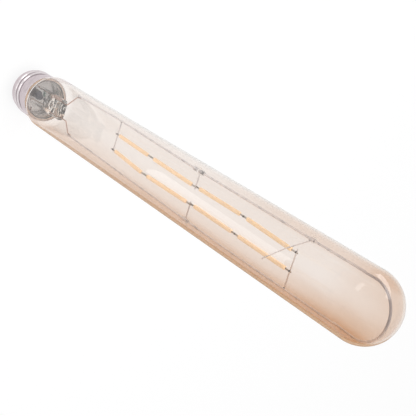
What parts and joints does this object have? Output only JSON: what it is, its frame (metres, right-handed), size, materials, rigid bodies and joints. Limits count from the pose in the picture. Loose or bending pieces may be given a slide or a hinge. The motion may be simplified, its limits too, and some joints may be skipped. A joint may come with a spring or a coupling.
{
  "type": "led filament bulb",
  "caption": "Long tubular glass lamp with a domed end, a screw cap, a bent wire frame on a glass stem and two rows of yellow filaments in series.",
  "frame": {"origin": "middle of the centre contact's end face, on the lamp's axis", "axes": "+Z along the lamp from the contact to the top of the dome; +X from the axis to the long frame wire; +Y away from the side seen in the picture"},
  "size_m": [0.03, 0.03, 0.3],
  "materials": {
    "bulb_glass": "clear and polished, light gold tint",
    "clear_glass": "clear and fire polished",
    "cap_metal": "rolled sheet, satin",
    "cement": "baked, matte",
    "cap_glass": "black glass, gloss",
    "contact_metal": "pressed, satin",
    "board": "pale laminate",
    "capacitor_sleeve": "dark shrink sleeve",
    "chip_plastic": "moulded, matte",
    "resistor_body": "lacquered",
    "frame_metal": "drawn nickel wire, satin",
    "lead_metal": "copper-coated wire",
    "strip_metal": "stamped strip, satin",
    "filament_coat": "yellow silicone, matte"
  },
  "bodies": {
    "root": {"glass_envelope": "bulb_glass", "glass_stem": "clear_glass", "cap_shell": "cap_metal", "basing_cement": "cement", "cap_insulator": "cap_glass", "centre_contact": "contact_metal", "driver_board": "board", "smoothing_capacitor": "capacitor_sleeve", "driver_chip": "chip_plastic", "bridge_rectifier": "chip_plastic", "fuse_resistor": "resistor_body", "live_wire": "lead_metal", "neutral_wire": "lead_metal", "frame_wire_long": "frame_metal", "frame_wire_short": "frame_metal", "lead_wire_long": "lead_metal", "lead_wire_short": "lead_metal", "cross_wire_start": "frame_metal", "cross_wire_end": "frame_metal", "support_wire_a": "frame_metal", "support_wire_b": "frame_metal", "brace_wire": "frame_metal", "bead_joint": "clear_glass", "bead_support": "clear_glass", "bead_brace": "clear_glass", "strip_a1": "strip_metal", "filament_a1": "filament_coat", "strip_a2": "strip_metal", "filament_a2": "filament_coat", "strip_a3": "strip_metal", "filament_a3": "filament_coat", "strip_a4": "strip_metal", "filament_a4": "filament_coat", "strip_b1": "strip_metal", "filament_b1": "filament_coat", "strip_b2": "strip_metal", "filament_b2": "filament_coat", "strip_b3": "strip_metal", "filament_b3": "filament_coat", "strip_b4": "strip_metal", "filament_b4": "filament_coat"}
  },
  "joints": []
}
